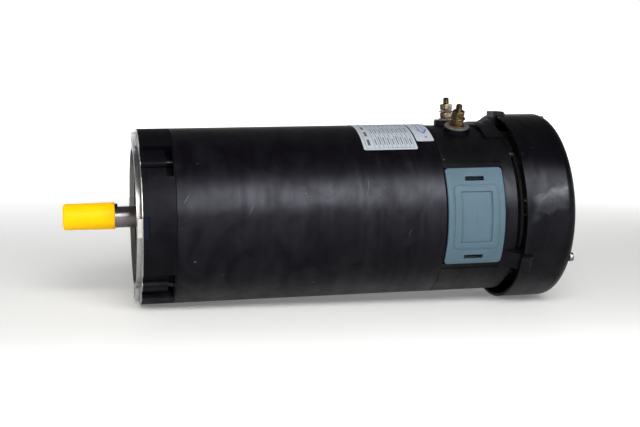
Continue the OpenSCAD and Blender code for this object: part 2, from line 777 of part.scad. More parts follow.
// Rectangular block centred on the window, set in from its edges
module window_block(inset, r0, r1) {
  around(0) translate([window_x0 + inset, -window_half_z + inset, r0])
    cube([window_x1 - window_x0 - 2 * inset, 2 * (window_half_z - inset), r1 - r0]);
}
module brush_cover() {
  mid = (cover_x0 + cover_x1) / 2;
  color("#7f97a3") {
    difference() {
      union() {
        sector(seat_r + 1.1, cover_r, -cover_half, cover_half, cover_x0, cover_x1);
        cover_window(cover_r - 1, cover_r + 0.8, 21.5, 21);
        intersection() {
          difference() {
            window_block(1.5, 60, 90);
            window_block(3.5, 50, 100);
          }
          x_tube(cover_r - 1, body_r - bell_wall + 1, cover_x0, cover_x1);
        }
      }
      cover_window(cover_r - 0.7, cover_r + 5, 15.5, 16.8);
      for (t = pry_slots)
        sector(70, cover_r + 5, t - pry_half, t + pry_half, mid - 10, mid + 9);
    }
  }
}
module cover_gasket() {
  color("#1f1f20") difference() {
    sector(seat_r + slip, seat_r + slip + gasket_t,
      0.5 - cover_half, cover_half - 0.5, cover_x0 + 0.4, cover_x1 - 0.4);
    around(0) translate([window_x0 + 0.7, -window_half_z - 0.2, 60])
      cube([window_x1 - window_x0 - 1.4, 2 * window_half_z + 0.4, 30]);
  }
}
module near_brush_cover() { brush_cover(); }
module far_brush_cover() { rotate([180, 0, 0]) brush_cover(); }
module near_cover_gasket() { cover_gasket(); }
module far_cover_gasket() { rotate([180, 0, 0]) cover_gasket(); }

// ---------- fan shroud ----------
// Drum with a rounded back corner
module drum(r, corner, x0, x1) {
  x_cyl(r, x0, x1 - corner);
  x_cyl(r - corner, x0, x1);
  turned() translate([r - corner, x1 - corner]) circle(r = corner);
}
// Rings of holes, six more in each ring than in the one inside it
module grille_holes() {
  pitch = 14;
  for (ring = [0 : 4]) {
    count = max(1, 6 * ring);
    for (i = [0 : count - 1])
      side_cyl(grille_hole_d / 2, ring * pitch, 90 + i * 360 / count, shroud_end - 6, shroud_end + 6);
  }
}
module fan_shroud() {
  inner_r = shroud_r - shroud_wall;
  color("#29292c") difference() {
    union() {
      difference() {
        drum(shroud_r, shroud_corner, shroud_x, shroud_end);
        drum(inner_r, shroud_corner - shroud_wall, shroud_x - over, shroud_end - shroud_wall);
      }
      intersection() {
        for (t = ear_angles) side_cyl(6, ear_screw_r, t, shroud_end - 10, shroud_end - 2);
        drum(shroud_r - 1, shroud_corner - 1, shroud_x, shroud_end - 1);
      }
    }
    grille_holes();
    for (t = ear_angles) {
      side_cyl(2.75, ear_screw_r, t, shroud_end - 12, shroud_end + over);
      side_cyl(5.4, ear_screw_r, t, screw_seat, shroud_end + 2 * over);
      around(t) translate([shroud_x - over, -ear_w / 2 - slip, 80])
        cube([ear_x1 + slip - shroud_x + over, ear_w + 2 * slip, 20]);
    }
  }
}
module shroud_screws() {
  color("#b9bbbd") for (t = ear_angles)
    axial_screw(ear_screw_r, t, screw_seat, screw_seat + 4, ear_x0 + 4);
}

// ---------- labels ----------
module rating_label() {
  color("#dfe0e2") sector(body_r + 0.01, body_r + 0.2, 49, 97, seam_x - 71.5, seam_x - 19.5);
}
module direction_label() {
  color("#e6e7e9") sector(body_r + 0.01, body_r + 0.2, 56.7, 92, seam_x - 18, seam_x - 0.7);
}

yoke_tube();
drive_end_bell();
rear_end_bell();
drive_bell_screws();
rear_bell_screws();
magnet_north_front();
magnet_north_rear();
magnet_south_front();
magnet_south_rear();
shaft_seal();
front_bearing_outer();
front_bearing_shields();
front_bearing_circlip();
rear_bearing_outer();
rear_bearing_shields();
rear_wave_spring();
front_bearing_balls();
front_bearing_cage();
rear_bearing_balls();
rear_bearing_cage();
shaft();
shaft_key();
front_bearing_inner();
rear_bearing_inner();
armature_core();
slot_conductors();
slot_wedges();
front_end_winding();
rear_end_winding();
commutator_bars();
commutator_hub();
cooling_fan();
fan_circlip();
shaft_sleeve();
brush_ring();
brush_ring_screws();
near_brush_box();
far_brush_box();
near_brush();
far_brush();
near_brush_springs();
far_brush_springs();
near_brush_leads();
far_brush_leads();
near_busbar();
far_busbar();
terminal_studs();
stud_bushes();
terminal_insulators();
terminal_washers();
terminal_nuts();
near_brush_cover();
far_brush_cover();
near_cover_gasket();
far_cover_gasket();
fan_shroud();
shroud_screws();
rating_label();
direction_label();
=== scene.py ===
# Looks of the fan-cooled brush motor: paint, machined faces, moulded covers, printed labels and fine
# hardware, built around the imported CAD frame. Lengths are metres in the row frame: X is the shaft axis,
# +Z the terminals, -Y the near side. Angles run round the axis from -Y (0) towards +Z (90), in degrees.
import bpy
import json
import math
from mathutils import Matrix, Vector


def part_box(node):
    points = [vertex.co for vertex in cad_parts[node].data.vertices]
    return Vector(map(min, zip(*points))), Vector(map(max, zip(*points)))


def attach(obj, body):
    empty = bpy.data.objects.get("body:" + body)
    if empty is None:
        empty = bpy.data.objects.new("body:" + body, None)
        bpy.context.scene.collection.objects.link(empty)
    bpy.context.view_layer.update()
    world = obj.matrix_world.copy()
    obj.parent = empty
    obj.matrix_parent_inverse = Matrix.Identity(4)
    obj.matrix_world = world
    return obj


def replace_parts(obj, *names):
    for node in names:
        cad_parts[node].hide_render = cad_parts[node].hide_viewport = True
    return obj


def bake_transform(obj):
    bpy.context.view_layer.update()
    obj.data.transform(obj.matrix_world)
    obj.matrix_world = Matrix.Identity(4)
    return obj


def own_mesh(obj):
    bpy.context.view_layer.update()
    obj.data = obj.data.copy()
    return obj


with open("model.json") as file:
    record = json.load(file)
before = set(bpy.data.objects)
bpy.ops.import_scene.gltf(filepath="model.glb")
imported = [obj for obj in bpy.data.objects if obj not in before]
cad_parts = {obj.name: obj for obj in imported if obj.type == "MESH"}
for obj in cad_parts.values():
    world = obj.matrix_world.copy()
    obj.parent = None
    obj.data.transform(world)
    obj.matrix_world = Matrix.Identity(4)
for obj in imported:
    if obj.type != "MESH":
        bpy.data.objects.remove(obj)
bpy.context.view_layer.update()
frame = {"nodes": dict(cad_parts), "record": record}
nodes = frame["nodes"]
mounts = {m["name"]: m for m in frame["record"]["mounts"]}
MM = 0.001
ALONG = Vector((1, 0, 0))

# ---------------------------------------------------------------- sizes taken from the frame
body_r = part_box("yoke_tube")[1].z
shroud_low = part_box("fan_shroud")[0]


def polar(x, r, t):
    """The point at x along the shaft, radius r and angle t in degrees."""
    a = math.radians(t)
    return Vector((x, -math.cos(a) * r, math.sin(a) * r))


# ---------------------------------------------------------------- mesh helpers
def piece(name, verts, faces, material, body, sharp=35, indices=None):
    """A new mesh piece that rides on a CAD body. material is one material or a list of them."""
    mesh = bpy.data.meshes.new(name)
    mesh.from_pydata([tuple(v) for v in verts], [], faces)
    for m in material if isinstance(material, list) else [material]:
        mesh.materials.append(m)
    if indices:
        mesh.polygons.foreach_set("material_index", indices)
    mesh.validate()
    mesh.shade_smooth()
    mesh.set_sharp_from_angle(angle=math.radians(sharp))
    obj = bpy.data.objects.new(name, mesh)
    bpy.context.scene.collection.objects.link(obj)
    if body:
        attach(obj, body)
    return obj


class Shell:
    """Collects vertices and faces of a piece that is made of several parts."""

    def __init__(self):
        self.verts, self.faces, self.marks = [], [], []

    def add(self, verts, faces, mark=0):
        base = len(self.verts)
        self.verts += verts
        self.faces += [[i + base for i in f] for f in faces]
        self.marks += [mark] * len(faces)

    def rings(self, rings, closed=True, caps=(False, False), flip=False, mark=0):
        """Skins a list of rings, each with the same number of points."""
        n = len(rings[0])
        faces = []
        for i in range(len(rings) - 1):
            for j in range(n if closed else n - 1):
                k = (j + 1) % n
                f = [i * n + j, i * n + k, (i + 1) * n + k, (i + 1) * n + j]
                faces.append(f[::-1] if flip else f)
        if caps[0]:
            f = list(range(n))
            faces.append(f if flip else f[::-1])
        if caps[1]:
            f = [(len(rings) - 1) * n + j for j in range(n)]
            faces.append(f[::-1] if flip else f)
        self.add([p for ring in rings for p in ring], faces, mark)

    def build(self, name, material, body, slot=None, sharp=35):
        return piece(name, self.verts, self.faces, material, body, sharp, self.marks)


def axes_for(direction):
    """Two unit vectors square to a direction, so that (a, b, direction) is right-handed."""
    d = Vector(direction).normalized()
    a = (ALONG if abs(d.x) < 0.9 else Vector((0, 0, 1))).cross(d).normalized()
    return a, d.cross(a), d


def ring_at(origin, direction, radius, height, count=48, shape=None):
    """A ring of points round an axis; shape(angle, radius) gives the radius where it isn't round."""
    a, b, d = axes_for(direction)
    out = []
    for i in range(count):
        phi = 2 * math.pi * i / count
        r = shape(phi, radius) if shape else radius
        out.append(origin + d * height + a * (r * math.cos(phi)) + b * (r * math.sin(phi)))
    return out


def turned(shell, origin, direction, profile, count=48, caps=(False, False), shape=None, mark=0):
    """Turns a list of (height, radius) about an axis."""
    shell.rings([ring_at(origin, direction, r, h, count, shape) for h, r in profile], caps=caps, mark=mark)


def thread(shell, origin, direction, radius, h0, h1, pitch, depth=0.6, count=28, caps=(True, True), mark=0):
    """A screw thread between two heights, with its crests at the given radius."""
    rings_per_turn = 8
    root, steep, run_out = 1.15, 2.6, 0.35  # width of the root, slope of the flanks, fade at both ends
    a, b, d = axes_for(direction)
    steps = max(2, round((h1 - h0) / pitch * rings_per_turn))
    rings = []
    for i in range(steps + 1):
        h = h0 + (h1 - h0) * i / steps
        end = min(1.0, (h - h0) / pitch, (h1 - h) / pitch)
        row = []
        for j in range(count):
            turn = j / count
            phase = (h / pitch - turn) % 1
            cut = depth * pitch * min(1.0, max(0.0, root - abs(phase - 0.5) * steep))
            r = radius - cut - run_out * depth * pitch * (1 - end)
            phi = 2 * math.pi * turn
            row.append(origin + d * h + a * (r * math.cos(phi)) + b * (r * math.sin(phi)))
        rings.append(row)
    shell.rings(rings, caps=caps, mark=mark)


def hexagon(flats):
    """A ring shape whose sides are six flats; the ring radius still limits the corners."""
    def shape(phi, radius):
        side = (phi + math.pi / 6) % (math.pi / 3) - math.pi / 6
        return min(radius, flats / 2 / math.cos(side))
    return shape


def nut(shell, origin, direction, flats, bore, h0, h1, mark=0):
    """A hexagon nut with chamfered corners and a countersunk bore."""
    corner = flats / math.sqrt(3)
    blunt = corner * 0.985
    face = 0.5 * flats * 0.96
    start, full = 0.10 * (h1 - h0), 0.16 * (h1 - h0)
    outside = [(h0, face), (h0 + start, blunt), (h0 + full, corner),
               (h1 - full, corner), (h1 - start, blunt), (h1, face)]
    turned(shell, origin, direction, outside, 72, shape=hexagon(flats), mark=mark)
    lip = 0.09 * flats
    inside = [(h1, face), (h1, bore + lip), (h1 - lip, bore), (h0 + lip, bore), (h0, bore + lip), (h0, face)]
    turned(shell, origin, direction, inside, 72, shape=hexagon(flats), mark=mark)


def washer(shell, origin, direction, outer, bore, h0, h1, mark=0):
    """A flat washer with a small radius on its edges."""
    e = min(0.25 * MM, (h1 - h0) * 0.3)
    profile = [(h0, bore), (h0, outer - e), (h0 + e, outer), (h1 - e, outer), (h1, outer - e), (h1, bore),
               (h0, bore)]
    turned(shell, origin, direction, profile, 64, mark=mark)


def split_washer(shell, origin, direction, outer, bore, h0, h1, mark=0):
    """A spring lock washer: one square turn of wire with a slanted gap."""
    a, b, d = axes_for(direction)
    count, gap = 60, math.radians(9)
    thick = (h1 - h0) * 0.82
    rings = []
    for i in range(count + 1):
        phi = gap / 2 + (2 * math.pi - gap) * i / count
        lift = (h1 - h0 - thick) * i / count
        way = a * math.cos(phi) + b * math.sin(phi)
        corners = [(bore, 0), (outer, 0), (outer, thick), (bore, thick)]
        rings.append([origin + way * r + d * (h0 + lift + z) for r, z in corners])
    shell.rings(rings, caps=(True, True), flip=True, mark=mark)


def cap_screw(shell, origin, direction, head_r, head_h, shank_r, length, pitch):
    """A socket-head screw. The origin is under its head, and the direction points out of the head."""
    e = 0.35 * MM
    top_r = head_r - 2 * e
    flats = head_r * 0.94
    mouth_r, wall_r, point_r = flats * 0.72, flats * 0.60, 0.02 * MM
    wall_low, point = head_h - 2.4 * MM, head_h - 3 * MM
    grooves, groove_depth = 36, 0.10 * MM

    def knurl(phi, r):
        """Fine grooves along the widest part of the head."""
        in_groove = r > head_r * 0.99 and math.cos(phi * grooves) > 0
        return r - groove_depth if in_groove else r

    turned(shell, origin, direction,
           [(0, shank_r), (0, head_r - e), (e, head_r), (head_h - 2 * e, head_r),
            (head_h - e / 2, head_r - e / 2), (head_h, top_r)], 144, shape=knurl)
    turned(shell, origin, direction, [(head_h, top_r), (head_h, mouth_r), (head_h - e, wall_r)], 144)
    turned(shell, origin, direction, [(head_h - e, wall_r), (wall_low, wall_r), (point, point_r)], 144,
           shape=hexagon(flats))
    thread(shell, origin, direction, shank_r, -length, 0.0, pitch, caps=(True, False))


# ---------------------------------------------------------------- material helper
class Look:
    """One material: a Principled shader and the procedural nodes that feed it."""

    def __init__(self, name, **sockets):
        self.mat = bpy.data.materials.new(name)
        self.mat.use_nodes = True
        self.tree = self.mat.node_tree
        self.tree.nodes.clear()
        out = self.node("OutputMaterial")
        self.bsdf = self.node("BsdfPrincipled")
        self.tree.links.new(self.bsdf.outputs[0], out.inputs["Surface"])
        self.place = self.node("TexCoord").outputs["Object"]
        for key, value in sockets.items():
            self.bsdf.inputs[key.replace("_", " ")].default_value = value
        self.normal = None

    def node(self, kind, **settings):
        n = self.tree.nodes.new("ShaderNode" + kind)
        for key, value in settings.items():
            setattr(n, key, value)
        return n

    def put(self, socket, value):
        """Sets a socket from a number, a colour or another node's output."""
        if isinstance(value, bpy.types.NodeSocket):
            self.tree.links.new(value, socket)
        else:
            socket.default_value = value

    def feed(self, name, value):
        self.put(self.bsdf.inputs[name], value)

    def math(self, operation, a, b=0.0, c=0.0):
        n = self.node("Math", operation=operation)
        for socket, value in zip(n.inputs, (a, b, c)):
            self.put(socket, value)
        return n.outputs[0]

    def parts(self, vector=None):
        n = self.node("SeparateXYZ")
        self.put(n.inputs[0], vector or self.place)
        return n.outputs

    def vector(self, x, y, z):
        n = self.node("CombineXYZ")
        for socket, value in zip(n.inputs, (x, y, z)):
            self.put(socket, value)
        return n.outputs[0]

    def stretch(self, x, y, z, vector=None):
        n = self.node("Mapping")
        self.put(n.inputs["Vector"], vector or self.place)
        n.inputs["Scale"].default_value = (x, y, z)
        return n.outputs[0]

    def round_axis(self):
        """Coordinates (x, metres round the body, radius), so that streaks follow the curved skin."""
        x, y, z = self.parts()
        radius = self.math("SQRT", self.math("ADD", self.math("MULTIPLY", y, y), self.math("MULTIPLY", z, z)))
        angle = self.math("ARCTAN2", z, self.math("MULTIPLY", y, -1.0))
        return x, self.math("MULTIPLY", angle, body_r), radius

    def noise(self, scale, detail=3.0, rough=0.5, vector=None, distortion=0.0):
        n = self.node("TexNoise")
        self.put(n.inputs["Vector"], vector or self.place)
        n.inputs["Scale"].default_value = scale
        n.inputs["Detail"].default_value = detail
        n.inputs["Roughness"].default_value = rough
        n.inputs["Distortion"].default_value = distortion
        return n.outputs[0]

    def spots(self, scale, vector=None):
        """Distance to the nearest of many scattered points."""
        n = self.node("TexVoronoi")
        self.put(n.inputs["Vector"], vector or self.place)
        n.inputs["Scale"].default_value = scale
        return n.outputs["Distance"]

    def span(self, value, low, high, to_low=0.0, to_high=1.0, smooth=False):
        n = self.node("MapRange")
        n.interpolation_type = "SMOOTHSTEP" if smooth else "LINEAR"
        for socket, v in zip(n.inputs, (value, low, high, to_low, to_high)):
            self.put(socket, v)
        return n.outputs[0]

    def band(self, value, centre, half, soft):
        """1 within half of a centre, falling to 0 over a soft edge."""
        away = self.math("ABSOLUTE", self.math("SUBTRACT", value, centre))
        return self.span(away, half, half + soft, 1.0, 0.0, smooth=True)

    def blend(self, share, a, b):
        n = self.node("Mix", data_type="RGBA")
        self.put(n.inputs[0], share)
        for socket, colour in ((n.inputs[6], a), (n.inputs[7], b)):
            self.put(socket, colour if not isinstance(colour, tuple) else (*colour, 1.0))
        return n.outputs[2]

    def bump(self, height, depth):
        n = self.node("Bump")
        n.inputs["Strength"].default_value = 1.0
        n.inputs["Distance"].default_value = depth
        self.put(n.inputs["Height"], height)
        if self.normal:
            self.put(n.inputs["Normal"], self.normal)
        self.normal = n.outputs[0]
        self.put(self.bsdf.inputs["Normal"], self.normal)


# ---------------------------------------------------------------- materials
def wiped_dust(look, skin, cloud):
    """Where dust was smeared over the paint and left, from 0 to 1."""
    smear = look.noise(26, 3, 0.6, look.stretch(1.6, 0.35, 1, skin), 1.4)
    return look.math("MULTIPLY", look.span(smear, 0.44, 0.62, smooth=True), look.span(cloud, 0.40, 0.68))


def paint_chips(look, skin):
    """Small specks, kept only in the few places where a coarse noise is high."""
    specks = look.span(look.spots(210, skin), 0.035, 0.06, 1.0, 0.0)
    return look.math("MULTIPLY", specks, look.span(look.noise(30, 1, 0.5, skin), 0.60, 0.64))


def rubbed_gloss(look, skin, gloss):
    """The gloss of unevenly rubbed paint, with faint streaks round the body."""
    rub = look.noise(34, 5, 0.62, look.stretch(1.0, 0.7, 1, skin), 1.1)
    streak = look.noise(60, 2, 0.5, look.stretch(2.2, 0.12, 1, skin), 0.3)
    return look.math("MULTIPLY", look.span(rub, 0.36, 0.64, gloss * 0.66, gloss * 1.30),
                     look.span(streak, 0.35, 0.65, 0.90, 1.10))


def cloud_patch(look, skin, along, angle):
    """A slanted, ragged patch at a place along the shaft and an angle in degrees, from 0 to 1."""
    x, around, _ = look.round_axis()
    slant, half_x, half_s = 0.32, 14 * MM, 5 * MM
    ragged = look.math("SUBTRACT", look.noise(42, 4, 0.6, skin, 0.8), 0.5)
    warp = look.math("MULTIPLY", ragged, 30 * MM)
    rise = look.math("SUBTRACT", look.math("ADD", around, warp),
                     look.math("MULTIPLY", look.math("SUBTRACT", x, along), slant))
    across = look.band(rise, math.radians(angle) * body_r, half_s, 7 * MM)
    shifted = look.math("ADD", x, look.math("MULTIPLY", warp, 0.5))
    return look.math("MULTIPLY", across, look.band(shifted, along, half_x, 9 * MM))


def enamel(name, base, dust, rough, shift=0.0, gloss=0.11, cloud_at=None):
    """Satin black enamel with orange peel, wiped smears, fine dust and a few small chips.

    shift moves the marks along the shaft, so that no two parts share them."""
    look = Look(name, IOR=1.5, Specular_Tint=(0.86, 0.90, 1.0, 1.0))
    x, around, radius = look.round_axis()
    skin = look.vector(look.math("ADD", x, shift), around, radius)
    cloud = look.noise(16, 4, 0.55, skin, 0.6)
    haze = wiped_dust(look, skin, cloud)
    chips = look.math("MULTIPLY", paint_chips(look, skin), 0.5)
    primer = (0.30, 0.30, 0.30)
    look.feed("Base Color", look.blend(chips, look.blend(haze, base, dust), primer))
    look.feed("Roughness", look.math("ADD", look.span(haze, 0, 1, *rough),
                                     look.span(cloud, 0.3, 0.7, -0.02, 0.03)))
    level = rubbed_gloss(look, skin, gloss)
    if cloud_at:
        dull, bright = 0.78, 2.5
        patch = cloud_patch(look, skin, *cloud_at)
        level = look.math("MULTIPLY", level, look.span(patch, 0, 1, dull, bright))
    look.feed("Specular IOR Level", level)
    look.bump(look.noise(520, 2, 0.5), 0.012 * MM)
    look.bump(look.noise(85, 2, 0.5), 0.06 * MM)
    return look


def mixed(look, a, b, share, low, high):
    """Two noises added with a share of the first, stretched from a low and a high value to 0 and 1."""
    both = look.math("ADD", look.math("MULTIPLY", a, share), look.math("MULTIPLY", b, 1 - share))
    return look.span(both, low, high)


def metal(name, base, tint, rough, lathe=False, depth=0.01 * MM, scale=900):
    """Bare metal with fine marks; lathe lays them round the shaft."""
    look = Look(name, Metallic=1.0)
    place = None
    if lathe:
        x, around, _ = look.round_axis()
        place = look.vector(x, look.math("MULTIPLY", around, 0.02), 0.0)
    marks = look.noise(scale, 3, 0.65, place)
    stain = look.noise(60, 3, 0.6)
    look.feed("Base Color", look.blend(mixed(look, marks, stain, 0.6, 0.35, 0.65), base, tint))
    look.feed("Roughness", look.span(marks, 0.3, 0.7, *rough))
    look.bump(marks, depth)
    return look


def moulded(name, base, tint, rough, grain=1500, depth=0.012 * MM, level=0.5):
    """Moulded plastic or rubber with a fine spark-eroded grain and slight handling marks."""
    look = Look(name, Specular_IOR_Level=level)
    stain = look.noise(38, 4, 0.6, distortion=0.5)
    look.feed("Base Color", look.blend(look.span(stain, 0.4, 0.66), base, tint))
    look.feed("Roughness", look.span(look.noise(110, 3, 0.6), 0.3, 0.7, *rough))
    look.bump(look.noise(grain, 2, 0.6), depth)
    return look


yoke_paint = enamel("yoke_enamel", (0.0019, 0.0014, 0.0028), (0.0048, 0.0043, 0.0060), (0.34, 0.42))
shroud_paint = enamel("shroud_enamel", (0.0018, 0.0017, 0.0026), (0.0052, 0.0054, 0.0068), (0.28, 0.40),
                      shift=0.31, cloud_at=(shroud_low.x + 25 * MM, 8.5))
bell_paint = enamel("rear_bell_enamel", (0.0018, 0.0016, 0.0024), (0.0048, 0.0046, 0.0056), (0.38, 0.46),
                    shift=0.7)


def drive_bell_look():
    """Enamel outside, bare turned metal on the faces in front of the rim, and the blue-primed notch."""
    look = enamel("drive_bell_enamel", (0.0018, 0.0015, 0.0026), (0.0046, 0.0043, 0.0056), (0.52, 0.62),
                  shift=1.3, gloss=0.066)
    x, around, radius = look.round_axis()
    z = look.parts()[2]
    ragged = look.span(look.noise(260, 3, 0.6), 0.3, 0.7, -0.12 * MM, 0.12 * MM)
    rim = look.span(look.math("ADD", x, ragged), 0.35 * MM, 0.45 * MM, 1.0, 0.0)
    recess = look.math("MULTIPLY", look.span(radius, 62 * MM, 63.2 * MM, 1.0, 0.0),
                       look.span(x, 9 * MM, 10 * MM, 1.0, 0.0))
    bare = look.math("MAXIMUM", rim, recess)
    marks = look.noise(1500, 3, 0.7, look.vector(radius, look.math("MULTIPLY", around, 0.01), 0.0))
    stain = look.noise(45, 4, 0.6)
    bright = look.blend(mixed(look, marks, stain, 0.5, 0.38, 0.62), (0.27, 0.265, 0.25), (0.46, 0.455, 0.435))
    notch = look.math("MULTIPLY", look.band(z, 0.0, 10.4 * MM, 0.2 * MM),
                      look.span(x, 6.4 * MM, 6.7 * MM, 1.0, 0.0))
    notch = look.math("MULTIPLY", notch, look.span(radius, 81.9 * MM, 82.2 * MM, 1.0, 0.0))
    notch = look.math("MULTIPLY", notch, look.span(radius, 72 * MM, 73 * MM))
    paint = look.bsdf.inputs["Base Color"].links[0].from_socket
    paint = look.blend(notch, paint, (0.0014, 0.0026, 0.0095))
    look.feed("Base Color", look.blend(bare, paint, bright))
    look.feed("Metallic", bare)
    rough = look.bsdf.inputs["Roughness"].links[0].from_socket
    look.feed("Roughness", look.blend(bare, rough, look.span(marks, 0.3, 0.7, 0.24, 0.42)))
    look.bump(look.math("MULTIPLY", marks, bare), 0.02 * MM)
    return look


drive_bell = drive_bell_look()
ground_steel = metal("ground_steel", (0.16, 0.142, 0.145), (0.215, 0.195, 0.195), (0.26, 0.36),
                     lathe=True, depth=0.0012 * MM, scale=700)
# A darker, rougher copy of the zinc plating for the drive-bell screws. The rougher finish is real; the darker
# colour is painted shade for heads that sit deep in the lug pockets.
pocket_shaded_zinc = metal("pocket_shaded_zinc", (0.06, 0.06, 0.062), (0.10, 0.10, 0.102), (0.34, 0.46))
zinc = metal("zinc_plate", (0.10, 0.102, 0.105), (0.18, 0.183, 0.188), (0.22, 0.36),
             depth=0.006 * MM, scale=1200)
blackened = metal("blackened_steel", (0.010, 0.010, 0.011), (0.020, 0.020, 0.022), (0.42, 0.56))
spring_wire = metal("spring_wire", (0.26, 0.27, 0.28), (0.38, 0.38, 0.39), (0.24, 0.36))
copper = metal("bare_copper", (0.50, 0.21, 0.11), (0.66, 0.32, 0.18), (0.26, 0.42), lathe=True, scale=1600)
brass = metal("rolled_brass", (0.46, 0.31, 0.11), (0.60, 0.43, 0.18), (0.28, 0.42))


def passivated(name, gold, green, pink, rough):
    """Yellow-passivated plating, whose colour drifts between gold, green and pink."""
    look = Look(name, Metallic=1.0)
    drift = look.noise(150, 3, 0.6, distortion=0.8)
    other = look.noise(95, 2, 0.5, look.stretch(1, 1.4, 0.8), 0.5)
    colour = look.blend(look.span(drift, 0.40, 0.60), gold, green)
    colour = look.blend(look.span(other, 0.52, 0.68), colour, pink)
    grime = look.span(look.noise(240, 4, 0.65, distortion=0.4), 0.42, 0.60, smooth=True)
    colour = look.blend(look.math("MULTIPLY", grime, 0.72), colour, (0.035, 0.026, 0.016))
    look.feed("Base Color", colour)
    marks = look.noise(1300, 3, 0.6)
    look.feed("Roughness", look.span(marks, 0.3, 0.7, *rough))
    look.bump(marks, 0.012 * MM)
    return look


terminal_gold = passivated("yellow_passivate", (0.16, 0.108, 0.028), (0.06, 0.05, 0.028), (0.20, 0.075, 0.05),
                           (0.28, 0.46))
terminal_pale = passivated("pale_passivate", (0.16, 0.13, 0.085), (0.065, 0.058, 0.045),
                           (0.19, 0.125, 0.098), (0.28, 0.46))
washer_plate = passivated("washer_plate", (0.22, 0.13, 0.07), (0.15, 0.11, 0.06), (0.27, 0.12, 0.09),
                          (0.30, 0.46))

cover_plastic = moulded("cover_plastic", (0.074, 0.119, 0.152), (0.083, 0.133, 0.168), (0.50, 0.62),
                        grain=1700, depth=0.016 * MM, level=0.07)
disc_plastic = moulded("disc_plastic", (0.050, 0.047, 0.044), (0.105, 0.10, 0.094), (0.42, 0.55))
black_plastic = moulded("fan_plastic", (0.010, 0.010, 0.011), (0.017, 0.017, 0.018), (0.40, 0.52))
rubber = moulded("nitrile_rubber", (0.010, 0.010, 0.010), (0.018, 0.017, 0.016), (0.55, 0.7))
phenolic = moulded("phenolic", (0.07, 0.026, 0.013), (0.11, 0.042, 0.02), (0.36, 0.5))
nylon = moulded("natural_nylon", (0.55, 0.52, 0.45), (0.62, 0.59, 0.52), (0.38, 0.5))
carbon = moulded("electrographite", (0.014, 0.014, 0.014), (0.03, 0.03, 0.029), (0.38, 0.55),
                 grain=2400, depth=0.03 * MM)
ferrite = moulded("ferrite", (0.022, 0.021, 0.022), (0.04, 0.038, 0.04), (0.45, 0.62),
                  grain=2200, depth=0.03 * MM)
liner = moulded("slot_liner", (0.52, 0.47, 0.32), (0.62, 0.57, 0.42), (0.55, 0.7))


def vinyl_look():
    """Soft yellow vinyl: slightly see-through, dip-moulded, with faint runs along its length."""
    look = Look("yellow_vinyl", Subsurface_Weight=0.2, Subsurface_Scale=0.001, Specular_IOR_Level=0.07,
                Subsurface_Radius=(1.0, 0.55, 0.1))
    runs = look.noise(70, 3, 0.55, look.stretch(0.25, 1, 1))
    cloud = look.noise(55, 3, 0.6)
    shade = mixed(look, runs, cloud, 0.5, 0.35, 0.65)
    look.feed("Base Color", look.blend(shade, (0.95, 0.50, 0.0004), (1.0, 0.575, 0.0006)))
    look.feed("Roughness", look.span(cloud, 0.3, 0.7, 0.36, 0.50))
    look.bump(runs, 0.10 * MM)
    look.bump(look.noise(700, 2, 0.5), 0.015 * MM)
    return look


def winding_look():
    """Varnished copper wire laid round the end of the armature."""
    look = Look("winding_varnish", Coat_Weight=0.6, Coat_Roughness=0.15)
    x, around, radius = look.round_axis()
    strand = look.node("TexWave", wave_type="BANDS", bands_direction="X")
    place = look.vector(look.math("ADD", x, radius), look.math("MULTIPLY", around, 0.1), 0.0)
    for key, value in {"Vector": place, "Scale": 230, "Distortion": 3.0, "Detail Scale": 0.6}.items():
        look.put(strand.inputs[key], value)
    height = strand.outputs[1]
    look.feed("Base Color", look.blend(height, (0.10, 0.025, 0.010), (0.40, 0.13, 0.045)))
    look.feed("Metallic", look.span(height, 0, 1, 0.2, 0.6))
    look.feed("Roughness", look.span(look.noise(300), 0.3, 0.7, 0.28, 0.42))
    look.bump(height, 0.5 * MM)
    return look


def lamination_look():
    """Stacked electrical steel: thin sheets seen on edge, under varnish."""
    look = Look("laminations", Metallic=0.9)
    sheet = look.math("PINGPONG", look.parts()[0], 0.35 * MM)
    line = look.span(sheet, 0.0, 0.08 * MM)
    look.feed("Base Color", look.blend(line, (0.05, 0.045, 0.04), (0.24, 0.235, 0.23)))
    look.feed("Roughness", look.span(look.noise(420), 0.3, 0.7, 0.32, 0.5))
    look.bump(line, 0.03 * MM)
    return look


def film_look(name, base, fade=0.93):
    """Printed polyester film, slightly glossy, with faint ripples where it was pressed on."""
    look = Look(name, Specular_IOR_Level=0.45)
    ripple = look.noise(120, 2, 0.5)
    faded = tuple(c * fade for c in base)
    look.feed("Base Color", look.blend(look.span(look.noise(260, 3, 0.6), 0.35, 0.65), base, faded))
    look.feed("Roughness", look.span(ripple, 0.3, 0.7, 0.30, 0.42))
    look.bump(ripple, 0.05 * MM)
    return look


vinyl = vinyl_look()
winding = winding_look()
laminations = lamination_look()
film = film_look("label_film", (0.42, 0.455, 0.505))
INK_FADE = 0.88
ink = film_look("label_ink", (0.07, 0.08, 0.10), INK_FADE)
blue_ink = film_look("label_blue_ink", (0.05, 0.11, 0.42), INK_FADE)
red_ink = film_look("label_red_ink", (0.60, 0.11, 0.08), INK_FADE)
chipped = moulded("chipped_paint", (0.045, 0.045, 0.05), (0.10, 0.10, 0.105), (0.5, 0.7))

